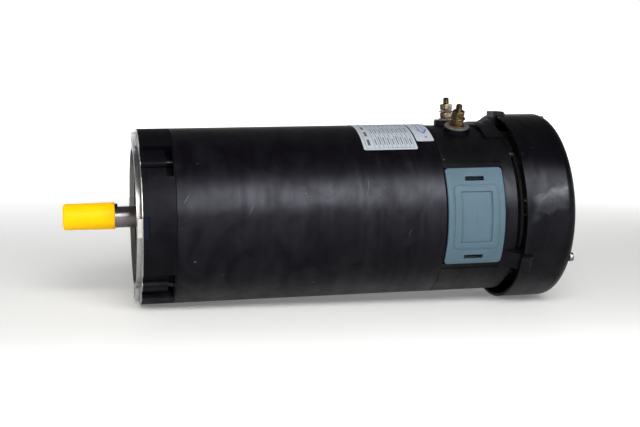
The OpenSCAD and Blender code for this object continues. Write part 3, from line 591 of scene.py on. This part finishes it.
paints = {
    "yoke_tube": yoke_paint, "drive_end_bell": drive_bell, "rear_end_bell": bell_paint,
    "fan_shroud": shroud_paint, "rear_bell_screws": blackened, "shaft_seal": rubber,
    "shaft": ground_steel, "shaft_key": blackened, "front_bearing_circlip": spring_wire,
    "rear_wave_spring": spring_wire, "fan_circlip": spring_wire, "armature_core": laminations,
    "slot_conductors": winding, "slot_wedges": liner, "front_end_winding": winding,
    "rear_end_winding": winding, "commutator_bars": copper, "commutator_hub": phenolic,
    "cooling_fan": black_plastic, "brush_ring": phenolic, "brush_ring_screws": zinc,
    "near_brush_box": brass, "far_brush_box": brass, "near_brush": carbon, "far_brush": carbon,
    "near_busbar": copper, "far_busbar": copper, "stud_bushes": nylon,
    "near_cover_gasket": rubber, "far_cover_gasket": rubber, "front_bearing_cage": brass,
    "rear_bearing_cage": brass,
}
for name in nodes:
    if name.startswith("magnet"):
        paints[name] = ferrite
    elif "bearing" in name and name not in paints:
        paints[name] = ground_steel
for name, look in paints.items():
    mesh = nodes[name].data
    mesh.materials.clear()
    mesh.materials.append(look.mat)

# ---------------------------------------------------------------- brush covers
cover_low, cover_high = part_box("near_brush_cover")
cover_r = -cover_low.y - 0.8 * MM
cover_mid = (cover_low.x + cover_high.x) / 2
cover_half_x = (cover_high.x - cover_low.x) / 2
cover_half_s = math.asin(cover_high.z / cover_r) * cover_r
PRY_SLOTS = (25.2, -27.2)  # middles of the two slots, in degrees from the middle of the cover
SLOT_HALF = 1.3  # half the width of a slot, in degrees
SLOT_LEAN = 2.4  # how far the outer wall of a slot leans away below the skin, in degrees


def rounded_loop(half_x, half_s, corner, steps=6, per_side=14):
    """Points of a rectangle with round corners, as (x, distance round the body) pairs."""
    signs = ((1, 1), (-1, 1), (-1, -1), (1, -1))

    def corner_point(quarter, a):
        sx, ss = signs[quarter % 4]
        return sx * (half_x - corner) + corner * math.cos(a), ss * (half_s - corner) + corner * math.sin(a)

    out = []
    for quarter in range(4):
        out += [corner_point(quarter, math.pi / 2 * (quarter + i / steps)) for i in range(steps + 1)]
        start = out[-1]
        stop = corner_point(quarter + 1, math.pi / 2 * (quarter + 1))
        for i in range(1, per_side):
            f = i / per_side
            out.append((start[0] + (stop[0] - start[0]) * f, start[1] + (stop[1] - start[1]) * f))
    return out


def brush_cover(name, node, body, middle):
    """A moulded cover with a raised round-cornered frame, a sunk panel and two pry slots."""
    panel, frame_edge, apron, back = (14.4, 23.4), (21.5, 30.6), (23.5, 33.5), (6, 12)
    edge = (cover_half_x / MM, cover_half_s / MM)
    sunk, groove, raised = -0.55, -0.80, 0.80
    # Each ring follows an outline at a distance outside it, with a corner radius and a height over the
    # skin of the cover, all in millimetres. They run from the middle of the panel round to the back.
    steps = [
        (panel, -14.35, 0.02, sunk), *[(panel, -2.3 * i, 0.58 - 0.08 * i, sunk) for i in range(6, 0, -1)],
        (panel, 0, 0.1, sunk), (panel, 0.4, 0.7, groove), (panel, 0.7, 0.8, groove),
        (panel, 0.8, 0.9, 0.52), (panel, 1.05, 1.0, 0.78), (panel, 1.5, 1.2, raised),
        (frame_edge, -0.8, 4.2, raised), (frame_edge, -0.35, 4.5, 0.70), (frame_edge, -0.1, 4.7, 0.40),
        (frame_edge, 0, 4.8, -0.12), (frame_edge, 0.4, 5.0, -0.14), (frame_edge, 0.65, 5.2, 0.0),
        (apron, 0, 4.0, 0.0), (edge, -0.55, 2.7, 0.0), (edge, -0.18, 3.0, -0.12), (edge, 0, 3.1, -0.5),
        (edge, 0, 3.1, -2.3), (edge, -0.3, 2.9, -2.65), (edge, -6, 1.5, -2.68), (back, 0, 1.0, -2.68),
    ]

    def loop(outline, outside, corner, lift):
        half_x, half_s = ((half + outside) * MM for half in outline)
        return [polar(cover_mid + x, cover_r + lift * MM, middle + math.degrees(s / cover_r))
                for x, s in rounded_loop(half_x, half_s, corner * MM)]

    shell = Shell()
    shell.rings([loop(*step) for step in steps], caps=(True, True))
    obj = shell.build(name, cover_plastic.mat, body, "cover_plastic", 32)
    for centre in PRY_SLOTS:
        angles = (middle + centre - SLOT_HALF, middle + centre + SLOT_HALF)
        cut_block(obj, (cover_mid - 9.5 * MM, cover_mid + 9 * MM), (cover_r - 6 * MM, cover_r + 4 * MM),
                  angles, math.copysign(SLOT_LEAN, centre))
    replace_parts(obj, node)
    cover_lip(name + "_lip", body, middle)


def cover_lip(name, body, middle):
    """The thin wall behind a cover that drops into the brush window."""
    window_half_x, window_half_z, corner = 21 * MM, 38 * MM, 0.8 * MM
    wall_top, wall_foot = cover_r - 2.6 * MM, cover_r - 7.7 * MM

    def wall(inset):
        outline = rounded_loop(window_half_x - inset, window_half_z - inset, corner)
        return [[turn_side(cover_mid + x, r, z, middle) for x, z in outline] for r in (wall_top, wall_foot)]

    outer, inner = wall(1.5 * MM), wall(3.5 * MM)
    lip = Shell()
    lip.rings(outer, flip=True)
    lip.rings(inner)
    lip.rings([outer[-1], inner[-1]], flip=True)
    lip.build(name, cover_plastic.mat, body, "cover_plastic", 30)


def turn_side(x, r, z, middle):
    """The point at x and z on a radius r of the near side, turned to the side the piece is on."""
    near = Vector((x, -math.sqrt(r * r - z * z), z))
    return near if middle == 0 else Vector((near.x, -near.y, -near.z))


def cut_block(obj, along, radii, angles, lean):
    """Cuts a block between two places, two radii and two angles out of a piece.

    Its outer wall leans outwards by lean degrees at the foot, so that the slot reads as an open hole."""
    leans = (min(lean, 0), max(lean, 0))
    flare = 0.4  # share of the lean by which the wall stands in at the top
    verts = [polar(x, r, t + (wall if r == radii[0] else -wall * flare)) for t, wall in zip(angles, leans)
             for r in radii for x in along]
    faces = [(0, 1, 3, 2), (4, 6, 7, 5), (0, 4, 5, 1), (2, 3, 7, 6), (0, 2, 6, 4), (1, 5, 7, 3)]
    mesh = bpy.data.meshes.new("cutter")
    mesh.from_pydata([tuple(v) for v in verts], [], faces)
    cutter = bpy.data.objects.new("cutter", mesh)
    bpy.context.scene.collection.objects.link(cutter)
    cut = obj.modifiers.new("cut", "BOOLEAN")
    cut.operation, cut.solver, cut.object = "DIFFERENCE", "EXACT", cutter
    bpy.context.view_layer.update()
    result = bpy.data.meshes.new_from_object(obj.evaluated_get(bpy.context.evaluated_depsgraph_get()))
    obj.modifiers.clear()
    old, obj.data = obj.data, result
    bpy.data.meshes.remove(old)
    bpy.data.objects.remove(cutter)
    obj.data.set_sharp_from_angle(angle=math.radians(32))


brush_cover("near_cover_moulding", "near_brush_cover", "near_cover", 0)
brush_cover("far_cover_moulding", "far_brush_cover", "far_cover", 180)

# ---------------------------------------------------------------- shaft sleeve
sleeve_low, sleeve_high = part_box("shaft_sleeve")
sleeve_z = (sleeve_low.z + sleeve_high.z) / 2


def shaft_sleeve():
    """A dip-moulded vinyl cap: closed round end, slightly wavy wall and a thick rolled rim."""
    length = (sleeve_high.x - sleeve_low.x) / MM
    wide = (sleeve_high.z - sleeve_low.z) / 2 / MM
    bore, wall_from, rim_from = 11.76, 2.0, length - 2.3
    thin, taper, wave, rings = 0.58, 0.42, 0.05, 30
    outer = [(0.05, 3.0), (0.0, 7.0), (0.12, 9.4), (0.5, 11.0), (1.1, 11.75), (wall_from, wide - thin)]
    for i in range(1, rings):
        f = i / rings
        outer.append((wall_from + (rim_from - 0.3 - wall_from) * f,
                      wide - thin + taper * f + wave * math.sin(f * 17) * (1 - f)))
    outer += [(rim_from, wide - 0.12), (length - 1.7, wide - 0.02), (length - 0.8, wide),
              (length - 0.25, wide - 0.15), (length, wide - 0.5)]
    inner = [(length - 0.15, 11.95), (length - 0.8, bore), (length * 0.6, bore), (3.4, bore), (2.85, 11.0),
             (2.8, 4.0)]

    def soft(phi, r):
        """Makes the wall a little out of round, as soft vinyl is."""
        if r <= 11.7 * MM:
            return r
        return r * (1 + 0.004 * math.sin(3 * phi + 0.6) + 0.002 * math.sin(7 * phi))

    shell = Shell()
    start = Vector((sleeve_low.x, 0, sleeve_z))
    profile = [(h * MM, r * MM) for h, r in outer + inner]
    turned(shell, start, ALONG, profile, 96, (True, True), soft)
    obj = shell.build("sleeve_cap", vinyl.mat, "shaft_sleeve", "sleeve_vinyl", 60)
    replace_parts(obj, "shaft_sleeve")


shaft_sleeve()

# ---------------------------------------------------------------- terminals
def terminal_parts():
    """Threaded studs, chamfered nuts, flat and spring washers and the insulating discs."""
    studs, nuts, washers, discs = Shell(), Shell(), Shell(), Shell()
    stud_r = mounts["near_terminal"]["dims"]["r_mm"] * MM
    flats, pitch = 11.1 * MM, 1.27 * MM
    head_foot, head_top, head_r = 63.9 * MM, 68.4 * MM, 5.6 * MM
    seat, disc_t, nut_h, washer_t = 85.6 * MM, 1.4 * MM, 5.7 * MM, 1.3 * MM
    gap = 0.02 * MM
    stack = seat + disc_t
    low_nut = stack + 1.04 * MM
    top_nut = low_nut + nut_h + 2 * washer_t + gap
    tip = 108.4 * MM
    thread_top = tip - 0.7 * MM
    for index, name in enumerate(("near_terminal", "top_terminal")):
        mount = mounts[name]
        out = Vector(mount["axis"]).normalized()
        foot = Vector((mount["pos_m"][0], 0, 0))
        turned(studs, foot, out, [(head_foot, head_r), (head_top, head_r), (head_top, stud_r),
               (stack, stud_r)], 48, (True, False), hex_head, index)
        thread(studs, foot, out, stud_r, stack, thread_top, pitch, 0.5, 36, (False, False), index)
        turned(studs, foot, out, [(thread_top, stud_r - 0.25 * MM), (tip - 0.25 * MM, stud_r - 0.7 * MM),
               (tip, stud_r - 1.1 * MM)], 36, (False, True), None, index)
        for level in (low_nut, top_nut):
            nut(nuts, foot, out, flats, stud_r + gap, level, level + nut_h - gap, index)
        washer(washers, foot, out, 7.4 * MM, stud_r + gap, stack, low_nut - gap, 0)
        washer(washers, foot, out, 7.2 * MM, stud_r + gap, low_nut + nut_h, low_nut + nut_h + washer_t, index)
        split_washer(washers, foot, out, 5.8 * MM, stud_r + 0.1 * MM, top_nut - washer_t, top_nut - gap,
                     index)
        washer(discs, foot, out, 12 * MM, stud_r + gap, seat + gap, stack - gap)
    plates = [terminal_gold.mat, terminal_pale.mat]
    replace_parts(studs.build("threaded_studs", plates, "housing", "terminal_metal"), "terminal_studs")
    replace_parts(nuts.build("hexagon_nuts", plates, "housing", "terminal_metal", 28), "terminal_nuts")
    stack_plates = [washer_plate.mat, terminal_pale.mat]
    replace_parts(washers.build("stud_washers", stack_plates, "housing", "washer_metal"), "terminal_washers")
    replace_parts(discs.build("insulating_discs", disc_plastic.mat, "housing", "terminal_disc"),
                "terminal_insulators")


def hex_head(phi, radius):
    """Round at stud size, six-sided at head size."""
    head_flats, largest_round = 9.7 * MM, 4 * MM
    return hexagon(head_flats)(phi, radius) if radius > largest_round else radius


terminal_parts()

# ---------------------------------------------------------------- screws with real threads and sockets
def screws():
    """The four drive-bell screws and the three shroud screws, each set as one piece."""
    shank_r, head_r, pitch = 2.5 * MM, 4.25 * MM, 0.8 * MM
    # The drive-bell screws take the darker zinc, whose colour is painted shade in the lug pockets.
    sets = (("drive_bell_cap_screws", "drive_bell_screws", pocket_shaded_zinc, -ALONG, 5 * MM, body_r - 4.9 * MM,
             (45, 135, 225, 315)),
            ("shroud_cap_screws", "shroud_screws", zinc, ALONG, 4 * MM, 84.5 * MM, (90, 210, 330)))
    for name, node, look, out, head_h, circle_r, angles in sets:
        low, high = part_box(node)
        seat_x = high.x - head_h if out.x > 0 else low.x + head_h
        length = high.x - low.x - head_h
        shell = Shell()
        for t in angles:
            cap_screw(shell, polar(seat_x, circle_r, t), out, head_r, head_h, shank_r, length, pitch)
        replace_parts(shell.build(name, look.mat, "housing", "zinc_screw", 40), node)


screws()

# ---------------------------------------------------------------- printed labels
def label(name, node, marks, inks):
    """A label that follows the curve of the body, with round corners and printed marks.

    Each mark is (ink, (x0, x1, s0, s1)): shares of the label along the shaft and round the body, counted
    from the corner nearest the shaft end and the near side."""
    low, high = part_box(node)
    r = body_r + 0.2 * MM
    t0 = math.degrees(math.asin(low.z / (body_r + 0.01 * MM)))
    t1 = math.degrees(math.acos(-high.y / r))
    wide, tall = high.x - low.x, math.radians(t1 - t0) * r
    underside, ink_lift, facet, fill_rings = -0.19 * MM, 0.015 * MM, 1.5 * MM, 12
    outline = rounded_loop(wide / 2, tall / 2, 2.0 * MM, 5, 24)

    def at(along, around, lift=0.0):
        return polar(low.x + along, r + lift, t0 + math.degrees(around / r))

    def ring(share, lift=0.0):
        return [at(wide / 2 + x * share, tall / 2 + s * share, lift) for x, s in outline]

    shell = Shell()
    rings = [ring(1.0, underside)] + [ring(i / fill_rings) for i in range(fill_rings, 0, -1)]
    shell.rings(rings, caps=(False, True))
    for mark, (x0, x1, s0, s1) in marks:
        steps = max(1, round((s1 - s0) * tall / facet))
        rows = [[at(wide * x, tall * (s0 + (s1 - s0) * i / steps), ink_lift) for x in (x0, x1)]
                for i in range(steps + 1)]
        shell.rings(rows, closed=False, flip=True, mark=mark)
    obj = shell.build(name, [film.mat] + inks, "housing", "label_film")
    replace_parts(obj, node)


def rating_marks():
    """Plain rules and short blank fields in place of the printed table."""
    left, right, low, high, rule, split = 0.05, 0.95, 0.03, 0.97, 0.006, 0.21
    columns, rows, titles = 9, 3, 4
    pitch = (right - split) / columns
    out = [(1, (left, right, low, low + rule)), (1, (left, right, high - rule, high)),
           (1, (left, left + rule, low, high)), (1, (right - rule, right, low, high)),
           (1, (split, split + rule, low, high))]
    for i in range(1, columns):
        x = split + pitch * i
        out.append((1, (x, x + 0.008, low, high)))
    for i in range(columns):
        x = split + pitch * (i + 0.42)
        for j in range(rows):
            s = 0.10 + 0.29 * j
            length = 0.13 + 0.02 * ((i * 3 + j * 2) % 4)
            out.append((1, (x, x + 0.018, s, s + length)))
    for j in range(titles):
        s = 0.09 + 0.21 * j
        out.append((1, (0.095, 0.145, s, s + 0.13)))
    return out


def sticker_marks():
    """A plain arrow, drawn as a stepped outline, with a small red spot beside it."""
    steps, stroke, thick, shoulder, tail = 12, 0.07, 0.035, 0.42, 0.87
    out = []
    for i in range(steps):
        run, drop = 0.26 * i / steps, 0.17 * i / steps
        for x in (0.30 + run, 0.82 - run):
            out.append((1, (x, x + stroke, shoulder - drop, shoulder - drop + thick)))
    out += [(1, (0.44, 0.49, 0.41, tail)), (1, (0.68, 0.73, 0.41, tail)),
            (1, (0.44, 0.73, tail, tail + 0.03)), (2, (0.56, 0.70, 0.10, 0.17))]
    return out


label("rating_plate_film", "rating_label", rating_marks(), [ink.mat])
label("direction_sticker_film", "direction_label", sticker_marks(), [blue_ink.mat, red_ink.mat])

# ---------------------------------------------------------------- small marks in the paint
def paint_marks():
    """A few specks and hairline scratches on the near side, as thin films on the paint."""
    marks = Shell()
    lift, sections, blunt = 0.012 * MM, 12, 0.02
    # position along the shaft and angle, then length, width and slant to the shaft in degrees
    for x, t, length, width, slant in (
            (45.7, -22.8, 2.4, 0.8, 20), (156.3, -45.1, 1.4, 1.0, 0), (280.8, 39.8, 1.3, 1.1, 10),
            (38.6, 17.2, 9.5, 0.45, 56), (51.0, 41.0, 3.0, 0.25, 14), (96.0, 9.5, 12.0, 0.16, 64),
            (204.0, 21.0, 16.0, 0.14, 80), (243.0, -8.0, 8.0, 0.16, 70), (72.0, -34.0, 5.0, 0.16, 40)):
        cos, sin = math.cos(math.radians(slant)), math.sin(math.radians(slant))
        rows = []
        for i in range(sections + 1):
            share = i / sections
            along = (share - 0.5) * length * MM
            half = width / 2 * MM * math.sqrt(max(blunt, 1 - (2 * share - 1) ** 2))
            rows.append([polar(x * MM + cos * along - sin * side, body_r + lift,
                               t + math.degrees((sin * along + cos * side) / body_r))
                         for side in (-half, half)])
        marks.rings(rows, closed=False, flip=True)
    marks.build("paint_marks", chipped.mat, "housing", "black_paint")


paint_marks()

# ---------------------------------------------------------------- brush springs and leads
box_low, box_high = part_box("near_brush_springs")
spring_from, spring_to = -box_high.y, -box_low.y
brush_x = (box_low.x + box_high.x) / 2


def brush_springs(side, middle):
    """Two round-wire coils."""
    turns, per_turn, wire, coil, spread = 5, 28, 0.6 * MM, 4.4 * MM, 9 * MM
    flat_turns, rising = 0.1, 0.8  # shares of the coil that lie flat at its foot and that rise
    sides = 10
    count = turns * per_turn
    height = spring_to - spring_from
    out = polar(0, 1, middle)
    shell = Shell()
    for dx in (-spread, spread):
        rings = []
        for i in range(count + 1):
            a = 2 * math.pi * i / per_turn
            rise = min(1, max(0, (i / count - flat_turns) / rising))
            h = spring_from + wire + (height - 2 * wire) * rise
            way = Vector((math.cos(a), 0, math.sin(a)))
            mid = Vector((brush_x + dx, 0, 0)) + out * h + way * coil
            rings.append([mid + way * (wire * math.cos(b)) + out * (wire * math.sin(b))
                          for b in (2 * math.pi * k / sides for k in range(sides))])
        shell.rings(rings, caps=(True, True), flip=out.y > 0)
    springs = shell.build(side + "_coil_springs", spring_wire.mat, "housing", "spring_steel", 60)
    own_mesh(springs)
    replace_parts(springs, side + "_brush_springs")


def lead_path(start, arc_r, foot, bend):
    """A lead's middle line, as (z, height) points: out from the brush, round a half turn and back."""
    short = 0.2 * MM
    path = [(0.0, start), (0.0, start + short)]
    path += [(0.0, start + (arc_r - start) * i / 5) for i in range(1, 5)]
    path += [(bend - bend * math.cos(a), arc_r + bend * math.sin(a))
             for a in (math.pi * i / 20 for i in range(21))]
    path += [(2 * bend, arc_r - (arc_r - foot) * i / 12) for i in range(1, 13)]
    return path


def brush_leads(side, middle):
    """Two braided leads that loop back from a brush."""
    out = polar(0, 1, middle)
    low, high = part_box(side + "_brush_leads")
    top = max(abs(low.y), abs(high.y))
    foot = min(abs(low.y), abs(high.y))
    bend, braid, offset = 6 * MM, 1.1 * MM, 1.5 * MM
    sides, strands_round, ribs, twist = 16, 4, 0.10, 1.1
    path = lead_path(spring_from, top - bend - braid, foot, bend)
    for turn in (1, -1):
        rings = []
        for i, (z, h) in enumerate(path):
            before, after = path[max(0, i - 1)], path[min(len(path) - 1, i + 1)]
            dz, dh = after[0] - before[0], after[1] - before[1]
            size = math.hypot(dz, dh)
            ring = []
            for k in range(sides):
                b = 2 * math.pi * k / sides
                r = braid * (1 + ribs * math.cos(strands_round * b + i * twist))
                zz, hh = z + dh / size * r * math.cos(b), h - dz / size * r * math.cos(b)
                ring.append(Vector((brush_x + turn * (offset + r * math.sin(b)), 0, turn * zz)) + out * hh)
            rings.append(ring)
        strands = Shell()
        strands.rings(rings, caps=(True, True), flip=(out.y > 0) != (turn < 0))
        name = f"{side}_braid_{'up' if turn > 0 else 'down'}"
        lead = strands.build(name, copper.mat, None, "copper", 60)
        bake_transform(lead)
        if turn > 0:
            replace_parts(lead, side + "_brush_leads")


for brush_side, brush_middle in (("near", 0), ("far", 180)):
    brush_springs(brush_side, brush_middle)
    brush_leads(brush_side, brush_middle)

# ---------------------------------------------------------------- floor, light and camera
def floor_look():
    """Pale matt floor that fades to plain white away from the motor. Its emission is painted light: lowest
    next to the motor and rising behind and in front of it, as lamp light falling off over the floor would,
    then rising to plain white far off.
    """
    look = Look("studio_floor", Specular_IOR_Level=0.2, Roughness=0.55)
    cloud = look.span(look.noise(3, 2, 0.5), 0.3, 0.7)
    look.feed("Base Color", look.blend(cloud, (0.84, 0.85, 0.84), (0.88, 0.88, 0.87)))
    x, y, _ = look.parts()
    away = look.math("SQRT", look.math("ADD", look.math("MULTIPLY", x, x), look.math("MULTIPLY", y, y)))
    # Painted light: the floor glows with 0.15 everywhere, more behind and in front of the motor and more
    # again far off, in place of lamp light falling off over the floor.
    behind = look.span(y, 0.14, 0.95, 0.0, 0.45, smooth=True)
    before = look.span(y, -0.08, -0.34, 0.0, 0.30, smooth=True)
    far = look.span(away, 0.7, 1.8, 0.0, 0.6, smooth=True)
    look.bsdf.inputs["Emission Color"].default_value = (1.0, 1.0, 1.0, 1.0)
    painted_floor_light = look.math("ADD", 0.15, look.math("MAXIMUM", behind, before))
    look.feed("Emission Strength", look.math("ADD", far, painted_floor_light))
    return look


def floor():
    """The floor: a plane that touches the lowest points of the drive end's rim and of the shroud."""
    tilt = math.atan2(-body_r - shroud_low.z, shroud_low.x)
    size, centre_x = 40.0, 0.18
    mesh = bpy.data.meshes.new("studio_floor")
    corners = [(-size, -size, 0), (size, -size, 0), (size, size, 0), (-size, size, 0)]
    mesh.from_pydata(corners, [], [(0, 1, 2, 3)])
    mesh.materials.append(floor_look().mat)
    obj = bpy.data.objects.new("studio_floor", mesh)
    bpy.context.scene.collection.objects.link(obj)
    obj.location = (centre_x, 0, -body_r - math.tan(tilt) * centre_x)
    obj.rotation_euler = (0, tilt, 0)


def softbox(name, at, to, width, height, power, colour):
    """A rectangular lamp at a place, turned towards a point."""
    data = bpy.data.lights.new(name, "AREA")
    data.shape, data.size, data.size_y = "RECTANGLE", width, height
    data.energy, data.color = power, colour
    obj = bpy.data.objects.new(name, data)
    bpy.context.scene.collection.objects.link(obj)
    obj.location = at
    obj.rotation_mode = "QUATERNION"
    obj.rotation_quaternion = (Vector(to) - Vector(at)).to_track_quat("-Z", "Y")
    return obj


def lights():
    """One lamp for the light that is scattered, one for the long reflection, and a weak fill."""
    key = softbox("overhead_softbox", (0.22, -1.25, 0.95), (0.16, 0.0, -0.04), 1.1, 0.7, 24,
                  (1.0, 0.995, 0.98))
    key.visible_glossy = False
    glint = softbox("front_reflector", (0.64, -1.45, 0.80), (0.22, 0.0, 0.0), 1.15, 0.84, 62,
                    (0.99, 0.99, 1.0))
    glint.visible_diffuse = False
    softbox("left_fill", (-1.5, -0.7, 0.6), (0.0, 0.0, 0.0), 0.9, 0.9, 9, (0.96, 0.98, 1.0))


def surroundings():
    """A room that is white at the horizon and grows dim overhead."""
    world = bpy.data.worlds.new("studio_world")
    world.use_nodes = True
    tree = world.node_tree
    back = tree.nodes["Background"]
    coord = tree.nodes.new("ShaderNodeTexCoord")
    split = tree.nodes.new("ShaderNodeSeparateXYZ")
    fade = tree.nodes.new("ShaderNodeMapRange")
    fade.interpolation_type = "SMOOTHSTEP"
    tree.links.new(coord.outputs["Generated"], split.inputs[0])
    tree.links.new(split.outputs["Z"], fade.inputs["Value"])
    for key, value in {"From Min": 0.07, "From Max": 0.40, "To Min": 1.04, "To Max": 0.17}.items():
        fade.inputs[key].default_value = value
    tree.links.new(fade.outputs[0], back.inputs["Strength"])
    back.inputs["Color"].default_value = (1, 1, 1, 1)
    bpy.context.scene.world = world


def camera():
    """The photograph's viewpoint: yaw, pitch and roll in degrees, and the lens shift of its framing."""
    data = bpy.data.cameras.new("photo_camera")
    data.sensor_width = 36.0
    data.lens = 61.765
    data.shift_x, data.shift_y = 0.02664, -0.0865
    data.clip_start, data.clip_end = 0.05, 100.0
    obj = bpy.data.objects.new("photo_camera", data)
    bpy.context.scene.collection.objects.link(obj)
    yaw, pitch, roll = (math.radians(a) for a in (11.6234, 4.8874, -0.2977))
    look = Vector((math.sin(yaw) * math.cos(pitch), math.cos(yaw) * math.cos(pitch), -math.sin(pitch)))
    right = look.cross(Vector((0, 0, 1))).normalized()
    up = right.cross(look)
    rolled_right = right * math.cos(roll) + up * math.sin(roll)
    rolled_up = up * math.cos(roll) - right * math.sin(roll)
    obj.location = (-0.05388, -1.03704, 0.14206)
    turn = Matrix((rolled_right, rolled_up, -look)).transposed()
    obj.rotation_mode = "QUATERNION"
    obj.rotation_quaternion = turn.to_quaternion()
    bpy.context.scene.camera = obj


floor()
lights()
surroundings()
camera()
scene = bpy.context.scene
scene.view_settings.view_transform = "Standard"
scene.view_settings.look = "None"
